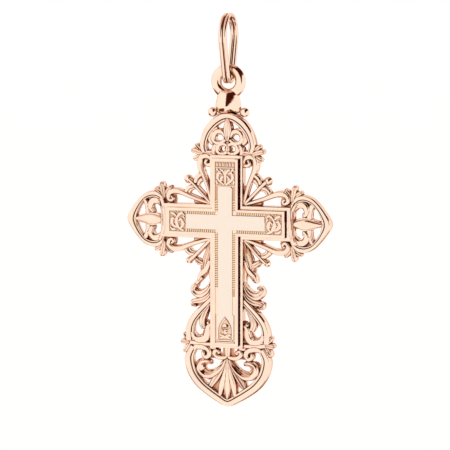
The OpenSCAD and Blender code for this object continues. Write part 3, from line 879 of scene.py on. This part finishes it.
panels = gather([
    sprig([(5.25, -1.15, 0.105), (5.75, -0.95, 0.15), (6.1, -0.45, 0.225), (6.2, 0.15, 0.18),
           (6.05, 0.6, 0.105)]),
    sprig([(5.75, -0.95, 0.09), (5.45, -0.6, 0.165), (5.42, -0.1, 0.195), (5.65, 0.25, 0.15),
           (5.85, 0.05, 0.105)]),
    sprig([(6.1, -0.75, 0.09), (6.55, -0.6, 0.18), (6.8, -0.15, 0.21), (6.7, 0.35, 0.15),
           (6.48, 0.25, 0.105)]),
    sprig([(6.05, 0.45, 0.09), (5.85, 0.8, 0.165), (5.45, 0.98, 0.12), (5.22, 0.75, 0.09)]),
    sprig([(6.2, 0.55, 0.09), (6.5, 0.85, 0.165), (6.85, 0.95, 0.12)]),
    sprig([(6.3, -1.05, 0.09), (6.7, -1.05, 0.15), (6.95, -0.8, 0.09)]),
    sprig([(5.2, 0.35, 0.09), (5.3, 0.55, 0.105)], "se"),
])
print("corners on the arms' sprigs:", len(panels.verts))

# %% Sprigs and strokes at the top
add_to(panels, gather([
    sprig([(0.12, 4.6, 0.105), (0.45, 4.85, 0.135), (0.82, 5.2, 0.15), (0.95, 5.65, 0.165),
           (0.78, 6.05, 0.15), (0.5, 5.95, 0.105)]),
    sprig([(0.55, 4.95, 0.09), (0.5, 5.35, 0.165), (0.3, 5.6, 0.105)]),
    sprig([(0.1, 5.9, 0.09), (0.25, 6.25, 0.15), (0.55, 6.42, 0.105)]),
    sprig([(0.8, 6.25, 0.09), (1.0, 6.45, 0.12)], "se"),
    sprig([(1.05, 4.75, 0.09), (1.1, 5.05, 0.12)], "se"),
    *(sprig([(x, 7.2, 0.07), (x, 6.88, 0.07)], "se") for x in (0.25, 0.62, 1.0)),
    sprig([(0, 6.66, 0.05), (1.2, 6.66, 0.05)], ""),
]))
print("corners with the top panel:", len(panels.verts))

# %% Arch, sill and bones
add_to(panels, gather([
    sprig([(0.66, -14.3, 0.05), (0.66, -13.3, 0.05), (0.58, -12.8, 0.05), (0.34, -12.32, 0.05),
           (0, -11.8, 0.05)], "", top=0.85),
    sprig([(0, -14.55, 0.07), (0.95, -14.55, 0.07)], ""),
    sprig([(0, -14.78, 0.05), (1.15, -14.78, 0.05)], ""),
    sprig([(-0.6, -14.25, 0.1), (0, -14.08, 0.12), (0.62, -13.86, 0.12)], "se"),
]))
print("corners with the niche:", len(panels.verts))

# %% Middle sprig, and beads
BEAD_R, BEAD_Y, BEAD_FLAT = 0.11, FACE + 0.1, 0.7
add_to(panels, gather([
    sprig([(0, 4.65, 0.09), (0, 5.2, 0.12), (0, 5.75, 0.16), (0, 6.2, 0.1), (0, 6.5, 0.05)], "", CREASED),
    sprig([(0, 7.2, 0.05), (0, 6.88, 0.05)], "se"),
], AS_DRAWN))
BEADS = ((5.35, 0.15), (5.2, -0.3), (6.35, 1.12), (6.98, 0.3), (6.98, -0.4), (5.5, 1.16), (6.0, 1.1),
         (5.95, -1.16), (6.42, -0.2), (5.72, -0.35), (1.12, 5.35), (1.12, 5.9), (0.62, 4.68), (0.35, 5.2),
         (0.25, 6.5), (0.62, 6.2), (0.9, 4.75), (1.14, 6.3))
for x, z in BEADS:
    for side in (-1, 1):
        add_to(panels, ball(side * x, z, BEAD_R, BEAD_Y, BEAD_FLAT))
print("beads:", 2 * len(BEADS))

# %% [markdown]
# ## The skull
# On the real pendant the skull is barely a millimetre high, so a flattened ball for the head, narrowed
# below the cheeks, and a smaller ball for the jaw say enough. Its sockets are pushed in with a falloff, as
# a ball-ended punch would do it.

# %% Skull
SKULL_R, SKULL_Z, CHEEK_Z = 0.56, -12.98, -13.2
HEAD_WIDE, CHEEK_WIDE = 0.96, 0.84
SOCKETS, SOCKET_R, SOCKET_DEPTH = (Vector((-0.2, -13.05)), Vector((0.2, -13.05))), 0.19, 0.22
JAW_R, JAW_Z = 0.3, -13.56
skull = ball(0, SKULL_Z, SKULL_R, y=FACE + 0.22, flat=0.42)
for v in skull.verts:
    v.co.x *= CHEEK_WIDE if v.co.z < CHEEK_Z else HEAD_WIDE
    for socket in SOCKETS:
        near = (v.co.xz - socket).length / SOCKET_R
        v.co.y += SOCKET_DEPTH * max(0.0, 1 - near ** 2)
add_to(panels, skull)
add_to(panels, ball(0, JAW_Z, JAW_R, y=FACE + 0.16, flat=0.45))
finish_piece(panels, "panel_ornament", relief_gold)

# %% [markdown]
# ## The niche
# The niche opens in a smooth plate under the smooth cross. Half of its arch is drawn and mirrored into one
# outline with the plate's own edge, and that one face is extruded, so no hole has to be cut.

# %% Niche surround
NICHE = ((0.84, -14.4), (0.84, -13.2), (0.76, -12.7), (0.46, -12.15), (0, -11.5))
SURROUND_HALF, SURROUND_TOP, SURROUND_FOOT = 1.08, SMOOTH_FOOT + 0.02, NICHE[0][1]
SURROUND_BACK, SURROUND_THICK = FACE + 0.25, 0.249
SURROUND_BREAK, TOUCHES_CROSS = 0.035, 0.1
left_half = [(-x, z) for x, z in NICHE[-2::-1]]
around = [(-SURROUND_HALF, SURROUND_FOOT), (-SURROUND_HALF, SURROUND_TOP), (SURROUND_HALF, SURROUND_TOP),
          (SURROUND_HALF, SURROUND_FOOT), *NICHE, *left_half]
surround = bmesh.new()
outline = surround.faces.new([surround.verts.new((x, SURROUND_BACK, z)) for x, z in around])
front = raise_face(surround, outline, -SURROUND_THICK)
free_edges = [e for e in front.edges if any(v.co.z < SMOOTH_FOOT - TOUCHES_CROSS for v in e.verts)]
soften(surround, free_edges, SURROUND_BREAK)
bmesh.ops.recalc_face_normals(surround, faces=surround.faces[:])
finish_piece(surround, "niche_surround", face_gold)

# %% [markdown]
# ## The cap
# A small rounded block caps the top finial. It mirrors the room as one dark wedge beside a bright flank,
# which takes a soft ridge down its front. So its rings are pinched ovals: a power below 2 draws the sides
# of an oval in and leaves a ridge. The first ring is one face that is extruded upwards ring by ring,
# swelling and then tapering towards the eyelet. After that the ridge is pushed a little to the left, the
# back is flattened, and a notch is pressed into the front of the foot.

# %% Grow a block ring by ring
BLOCK_SIDES = 72


def block(rings):
    """An upright rounded body. A ring is (z, middle x, half width, half depth, power of its outline)."""
    bm = bmesh.new()
    loop = list(bmesh.ops.create_circle(bm, segments=BLOCK_SIDES, radius=1.0, cap_ends=True)["verts"])
    turns = [(v.co.x, v.co.y) for v in loop]
    face = bm.faces[:][0]
    for i, (z, middle, half, deep, power) in enumerate(rings):
        if i:
            old = {v: n for n, v in enumerate(loop)}
            face = grow(bm, face, closes=i == 1)
            ordered = [None] * len(loop)
            for v in face.verts:
                below = next(e.other_vert(v) for e in v.link_edges if e.other_vert(v) in old)
                ordered[old[below]] = v
            loop = ordered
        for v, (c, s) in zip(loop, turns):
            v.co = (middle + math.copysign(abs(c) ** (2 / power), c) * half,
                    math.copysign(abs(s) ** (2 / power), s) * deep, z)
    bmesh.ops.recalc_face_normals(bm, faces=bm.faces[:])
    return bm


print("a block has", BLOCK_SIDES, "sides")

# %% Cap
CAP_RINGS = [(13.14, 0, 1.2, 0.55, 1.45), (13.35, 0, 1.46, 0.88, 1.4), (13.7, 0, 1.58, 1.13, 1.36),
             (14.0, 0, 1.63, 1.2, 1.38), (14.25, 0, 1.61, 1.18, 1.43), (14.5, 0, 1.57, 1.14, 1.5),
             (14.8, 0, 1.5, 1.07, 1.55), (15.1, 0, 1.42, 0.98, 1.6), (15.5, 0, 1.3, 0.84, 1.7),
             (15.8, 0, 1.12, 0.67, 1.8), (16.0, 0, 0.8, 0.42, 1.9), (16.08, 0, 0.3, 0.15, 2.0)]
RING_GAP = 0.09
CAP_LEAN, CAP_LEAN_HALF = 0.12, 1.3
CAP_BACK_FLAT = 0.72
NOTCH_X, NOTCH_TOP, NOTCH_HALF, NOTCH_HIGH, NOTCH_DEEP = 0.5, 13.68, 0.62, 0.5, 0.4
cap = block(smooth(CAP_RINGS, stretches(CAP_RINGS, RING_GAP)))
for v in cap.verts:
    if v.co.y < 0:
        v.co.x -= CAP_LEAN * max(0.0, 1 - (v.co.x / CAP_LEAN_HALF) ** 2)
    else:
        v.co.y *= CAP_BACK_FLAT
    reach = NOTCH_HALF * (NOTCH_TOP - v.co.z) / NOTCH_HIGH
    off = abs(v.co.x - NOTCH_X)
    if v.co.y < 0 and off < reach:
        v.co.y += NOTCH_DEEP * (1 - (off / reach) ** 2)
finish_piece(cap, "cap", relief_gold)

# %% [markdown]
# ## The eyelet
# The loop on top is a ring of round wire, a little flattened from front to back. It could be a torus
# primitive. Spinning a circle gives the same ring, and the full turn is merged where it meets its start.

# %% Eyelet
EYELET_R, EYELET_WIRE, EYELET_Z, EYELET_FLAT = 1.5, 0.65, 17.0, 0.68


def wire_ring(radius, wire, steps_round=80, segments=28):
    """A ring of round wire about the origin, in the plane y = 0."""
    bm = bmesh.new()
    bmesh.ops.create_circle(bm, segments=segments, radius=wire, matrix=Matrix.Translation((radius, 0, 0)))
    bmesh.ops.spin(bm, geom=bm.verts[:] + bm.edges[:], cent=(0, 0, 0), axis=(0, 1, 0), angle=math.tau,
                   steps=steps_round, use_merge=True)
    bmesh.ops.remove_doubles(bm, verts=bm.verts[:], dist=1e-4)
    bmesh.ops.recalc_face_normals(bm, faces=bm.faces[:])
    return bm


eyelet = wire_ring(EYELET_R, EYELET_WIRE)
bmesh.ops.scale(eyelet, vec=(1, EYELET_FLAT, 1), verts=eyelet.verts[:])
bmesh.ops.translate(eyelet, vec=(0, 0, EYELET_Z), verts=eyelet.verts[:])
finish_piece(eyelet, "eyelet_ring", relief_gold)

# %% [markdown]
# ## The bail
# The bail is two round wires bent side by side into a pear and soldered together. The lower bend is tight
# round the eyelet, and the upper one is wide enough for the chain. A wire is a circle that is spun round
# the upper bend, pushed down the leaning side, spun round the lower bend, and pushed back up to its start.
# The upper bend, both centres and the lean of the sides are worked out from the bail's box. The wires are
# drawn a little thinner than they are, so that the line between them stays dark.

# %% Measure the bail
bail_low, bail_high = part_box("bail_ring")
WIRE_R = 0.252 * unit
FOOT_R = 1.2 * unit
WIRE_APART = (bail_high.x - bail_low.x) / 2 - WIRE_R
TOP_R = (bail_high.y - bail_low.y) / 2 - WIRE_R
upper_centre = Vector((0, 0, bail_high.z - WIRE_R - TOP_R))
lower_centre = Vector((0, 0, bail_low.z + WIRE_R + FOOT_R))
LEAN = math.asin((TOP_R - FOOT_R) / (upper_centre.z - lower_centre.z))
print("bail: upper bend", round(TOP_R * 1000, 2), "mm, sides lean", round(math.degrees(LEAN), 1), "degrees")

# %% Bend a wire
WIRE_SIDES, UPPER_STEPS, LOWER_STEPS = 20, 56, 36


def bail_wire():
    """One closed wire of the bail, in metres, in the plane x = 0."""
    bm = bmesh.new()
    start = Vector((0, math.cos(LEAN), -math.sin(LEAN)))
    section = bmesh.ops.create_circle(bm, segments=WIRE_SIDES, radius=WIRE_R)["verts"]
    bmesh.ops.rotate(bm, cent=(0, 0, 0), matrix=Matrix.Rotation(-LEAN, 3, "X"), verts=section)
    bmesh.ops.translate(bm, vec=upper_centre + start * TOP_R, verts=section)
    section = bm.verts[:] + bm.edges[:]
    side_length = (upper_centre.z - lower_centre.z) * math.cos(LEAN)
    down = Vector((0, math.sin(LEAN), -math.cos(LEAN))) * side_length
    bends = ((upper_centre, math.pi + 2 * LEAN, UPPER_STEPS, down),
             (lower_centre, math.pi - 2 * LEAN, LOWER_STEPS, Vector((0, down.y, -down.z))))
    for centre, angle, count, along in bends:
        section = bmesh.ops.spin(bm, geom=section, cent=centre, axis=(1, 0, 0), angle=angle,
                                 steps=count)["geom_last"]
        edges = [g for g in section if isinstance(g, bmesh.types.BMEdge)]
        grown = bmesh.ops.extrude_edge_only(bm, edges=edges)["geom"]
        moved = [g for g in grown if isinstance(g, bmesh.types.BMVert)]
        bmesh.ops.translate(bm, vec=along, verts=moved)
        section = moved + [g for g in grown if isinstance(g, bmesh.types.BMEdge)
                           and g.verts[0] in moved and g.verts[1] in moved]
    bmesh.ops.remove_doubles(bm, verts=bm.verts[:], dist=WIRE_R * 0.05)
    bmesh.ops.recalc_face_normals(bm, faces=bm.faces[:])
    return bm


print("a wire is", round(2000 * WIRE_R, 2), "mm thick, with", WIRE_SIDES, "sides")

# %% Bail wires
wire_gold = stained_and_shaded(red_gold("red_gold_drawn_wire", (0.83, 0.65, 0.52), (0.78, 0.57, 0.44),
                             (0.06, 0.12), 0.15, 1500.0))
bail = bmesh.new()
for sign in (-1, 1):
    wire = bail_wire()
    bmesh.ops.translate(wire, vec=(sign * WIRE_APART, 0, 0), verts=wire.verts[:])
    print("open edges in a bail wire:", sum(1 for e in wire.edges if not e.is_manifold))
    add_to(bail, wire)
finish_piece(bail, "bail_wires", wire_gold, body="bail", node="bail_ring",
             to_row=Matrix.Identity(4))

# %% [markdown]
# ## The hollows
# Patina gathers where fingers and the polishing wheel can't reach, and shade falls in the same places. From
# each point of the relief a few rays go out towards the front. The share of them that soon meets other
# metal says how hollow the point is, and the piece keeps it as an attribute that browns its finish there,
# partly as patina and partly as painted shade. Rays are used instead of a texture map, since they follow
# the carving by themselves when a stroke is moved. Pieces with plain, open faces need none of it.

# %% Aim the rays
REACH = 0.9 * unit
LIFT = 0.012 * unit
FAN = ((0.0, 1), (0.7, 6), (1.2, 8))
OUTWARD = [Vector((math.sin(a) * math.sin(t), -math.cos(t), math.cos(a) * math.sin(t)))
           for t, count in FAN for a in (math.tau * i / count for i in range(count))]
print("rays from each point:", len(OUTWARD))

# %% Ask a point how hollow it lies
LEAST_FACING = 0.15


def tree_of(names):
    """A search tree of the triangles of some pieces."""
    points, faces = [], []
    for name in names:
        mesh = pieces[name].data
        first = len(points)
        points += [v.co.copy() for v in mesh.vertices]
        faces += [[first + i for i in p.vertices] for p in mesh.polygons]
    return BVHTree.FromPolygons(points, faces)


def mark_hollows(name, tree, least, most):
    """Writes how hollow each point lies: 0 up to the least share of blocked rays, 1 from the most."""
    mesh = pieces[name].data
    values = []
    for v in mesh.vertices:
        seen = blocked = 0.0
        for way in OUTWARD:
            weight = v.normal.dot(way)
            if weight > LEAST_FACING:
                seen += weight
                if tree.ray_cast(v.co + v.normal * LIFT, way, REACH)[0] is not None:
                    blocked += weight
        share = blocked / seen if seen else 0.0
        share = min(1.0, max(0.0, (share - least) / (most - least)))
        values.append(share * share * (3 - 2 * share))
    attribute = mesh.attributes.new("hollow", "FLOAT", "POINT")
    attribute.data.foreach_set("value", values)
    print(name, "mean hollow", round(sum(values) / len(values), 3))


print("a ray reaches", round(REACH * 1000, 2), "mm")

# %% Find the hollows
PLAIN = ("cross_ledge", "raised_cross", "smooth_cross", "niche_surround", "pierced_ground", "panel_floors",
         "niche_floor")
HOLLOW_RANGE, WIRE_RANGE = (0.32, 0.87), (0.1, 0.55)
OWN_RANGE = {"corner_sprays": (0.42, 0.98), "lower_leaves": (0.28, 0.82)}
# The hollow values brown the stained finishes: patina and painted shade.
cast_names = [name for name in pieces if name != "bail_wires"]
cast_tree = tree_of(cast_names)
for name in cast_names:
    if name not in PLAIN:
        mark_hollows(name, cast_tree, *OWN_RANGE.get(name, HOLLOW_RANGE))
mark_hollows("bail_wires", tree_of(["bail_wires"]), *WIRE_RANGE)

# %% [markdown]
# ## The room
# Polished metal shows the room, so the room is designed like a jewellery photographer's tent: white all
# round, with brown gaps that draw the lines in the relief. A small gap stands for the lens. A row of gaps
# rises above it and runs over the right shoulder, and others lie low on the left and on the right, so that
# slopes along one diagonal go dark and slopes along the other stay light. Weaker ones lie behind and
# overhead. Flat faces that look to the front mirror what lies below the height of the eye, and little is
# dark there, so they stay bright. The camera itself sees plain white. A lamp or two could light the
# metal as well, but it would show them as hard white spots.

# %% Gaps in the tent
TENT_LIGHT = 1.28
TENT = ((0.0, (0.05, 0.006, 0.002)), (0.5, (0.54, 0.2, 0.1)), (1.0, (1, 1, 1)))
CAMERA_AZIMUTH, CAMERA_ELEVATION, CAMERA_DISTANCE = 16.4, 7.5, 0.2
LENS_GAP = ((CAMERA_AZIMUTH, CAMERA_ELEVATION, 11, 4, 1.0),)
GAPS_ABOVE = ((20, 20, 15, 4, 1.0), (18, 38, 16, 6, 1.0))
GAPS_OVER_SHOULDER = ((36, 36, 15, 6, 1.0), (58, 45, 17, 6, 1.0), (86, 50, 18, 7, 1.0),
                      (114, 49, 17, 8, 1.0))
GAPS_LOW_LEFT = ((-68, -37, 10, 8, 0.8), (-97, -39, 14, 8, 0.95))
GAPS_LOW_RIGHT = ((75, -66, 14, 8, 0.85), (155, -48, 15, 8, 0.8))
GAPS_BEHIND = ((178, -2, 26, 14, 0.14), (-148, -6, 11, 7, 0.75))
GAP_OVERHEAD = ((0, 90, 25, 30, 0.35),)
GAPS = (LENS_GAP + GAPS_ABOVE + GAPS_OVER_SHOULDER + GAPS_LOW_LEFT + GAPS_LOW_RIGHT + GAPS_BEHIND
        + GAP_OVERHEAD)
print("gaps, each with azimuth, elevation, radius and soft edge in degrees, and strength:", len(GAPS))

# %% Cut a gap
world = bpy.data.worlds.new("light_tent")
bpy.context.scene.world = world
world.use_nodes = True
nodes, links = world.node_tree.nodes, world.node_tree.links
nodes.clear()
coords = nodes.new("ShaderNodeTexCoord")


def toward(azimuth, elevation):
    """The unit direction of an azimuth and elevation in degrees, azimuth 0 being the front."""
    a, e = math.radians(azimuth), math.radians(elevation)
    return Vector((math.sin(a) * math.cos(e), -math.cos(a) * math.cos(e), math.sin(e)))


def math_node(operation, *inputs):
    """A math node with its inputs linked or set."""
    node = nodes.new("ShaderNodeMath")
    node.operation = operation
    for socket, value in zip(node.inputs, inputs):
        if isinstance(value, (int, float)):
            socket.default_value = value
        else:
            links.new(value, socket)
    return node.outputs["Value"]


def round_gap(azimuth, elevation, radius, soft):
    """1 inside a round gap, 0 outside it, smooth across its soft edge."""
    near = nodes.new("ShaderNodeVectorMath")
    near.operation = "DOT_PRODUCT"
    near.inputs[1].default_value = toward(azimuth, elevation)
    fade = nodes.new("ShaderNodeMapRange")
    fade.interpolation_type = "SMOOTHSTEP"
    fade.inputs["From Min"].default_value = math.cos(math.radians(radius + soft))
    fade.inputs["From Max"].default_value = math.cos(math.radians(radius))
    links.new(coords.outputs["Generated"], near.inputs[0])
    links.new(near.outputs["Value"], fade.inputs["Value"])
    return fade.outputs["Result"]


print("the room is the world", world.name)

# %% World
clear = 1.0
for *where, strength in GAPS:
    clear = math_node("MULTIPLY", clear, math_node("MULTIPLY_ADD", round_gap(*where), -strength, 1.0))
tint = colour_ramp(nodes, TENT)
links.new(clear, tint.inputs["Fac"])
glow = nodes.new("ShaderNodeBackground")
glow.inputs["Strength"].default_value = TENT_LIGHT
links.new(tint.outputs["Color"], glow.inputs["Color"])
plain = nodes.new("ShaderNodeBackground")
plain.inputs["Color"].default_value = (1, 1, 1, 1)
plain.inputs["Strength"].default_value = 1.0
seen = nodes.new("ShaderNodeLightPath")
choose = nodes.new("ShaderNodeMixShader")
out = nodes.new("ShaderNodeOutputWorld")
links.new(seen.outputs["Is Camera Ray"], choose.inputs["Fac"])
links.new(glow.outputs["Background"], choose.inputs[1])
links.new(plain.outputs["Background"], choose.inputs[2])
links.new(choose.outputs["Shader"], out.inputs["Surface"])
print("nodes in the tent:", len(nodes))

# %% [markdown]
# ## The floor
# The pendant hangs free over a plain pale floor. It could be left out, as nothing stands on it, but seen
# from above the pendant then has nothing under it. The floor glows a little, so that it stays as white as
# the tent, and it is hidden from glossy rays, so that the metal still mirrors the tent's lower gaps.

# %% Floor
FLOOR_DROP, FLOOR_HALF = 0.03, 1.5
floor_bm = bmesh.new()
bmesh.ops.create_grid(floor_bm, x_segments=1, y_segments=1, size=FLOOR_HALF)
bmesh.ops.translate(floor_bm, vec=(0, 0, cad_box[0].z - FLOOR_DROP), verts=floor_bm.verts[:])
floor_mesh = bpy.data.meshes.new("floor")
floor_bm.to_mesh(floor_mesh)
floor_bm.free()
floor = bpy.data.objects.new("floor", floor_mesh)
bpy.context.scene.collection.objects.link(floor)
pale = bpy.data.materials.new("pale_floor")
pale.use_nodes = True
pale_shader = pale.node_tree.nodes["Principled BSDF"]
pale_shader.inputs["Base Color"].default_value = (0.9, 0.9, 0.9, 1)
pale_shader.inputs["Roughness"].default_value = 0.9
pale_shader.inputs["Emission Color"].default_value = (1, 1, 1, 1)
pale_shader.inputs["Emission Strength"].default_value = 0.4
floor_mesh.materials.append(pale)
floor.visible_glossy = False
print("the floor lies", FLOOR_DROP * 1000, "mm below the pendant")

# %% [markdown]
# ## The camera
# The photograph was taken from a little to the right and a little above, from about 20 cm. The lens is
# worked out from the scale of the photo, so that a millimetre on the pendant covers as many pixels as it
# does there. The view transform is set to Standard, so white stays white.

# %% Camera
PIXELS_PER_MM = 8.185
PHOTO_PIXELS = 450
LOOKED_AT = Vector((-0.44, 0, -0.491))
target = place @ LOOKED_AT
camera_data = bpy.data.cameras.new("camera")
camera_data.sensor_width = 36.0
camera_data.lens = PIXELS_PER_MM * 1000 * CAMERA_DISTANCE / PHOTO_PIXELS * camera_data.sensor_width
camera_data.clip_start = 0.01
camera = bpy.data.objects.new("camera", camera_data)
bpy.context.scene.collection.objects.link(camera)
away = toward(CAMERA_AZIMUTH, CAMERA_ELEVATION)
camera.location = target + away * CAMERA_DISTANCE
camera.rotation_euler = away.to_track_quat("Z", "Y").to_euler()
bpy.context.scene.camera = camera
bpy.context.scene.view_settings.view_transform = "Standard"
print("lens", round(camera_data.lens, 1), "mm at", [round(v, 4) for v in camera.location])
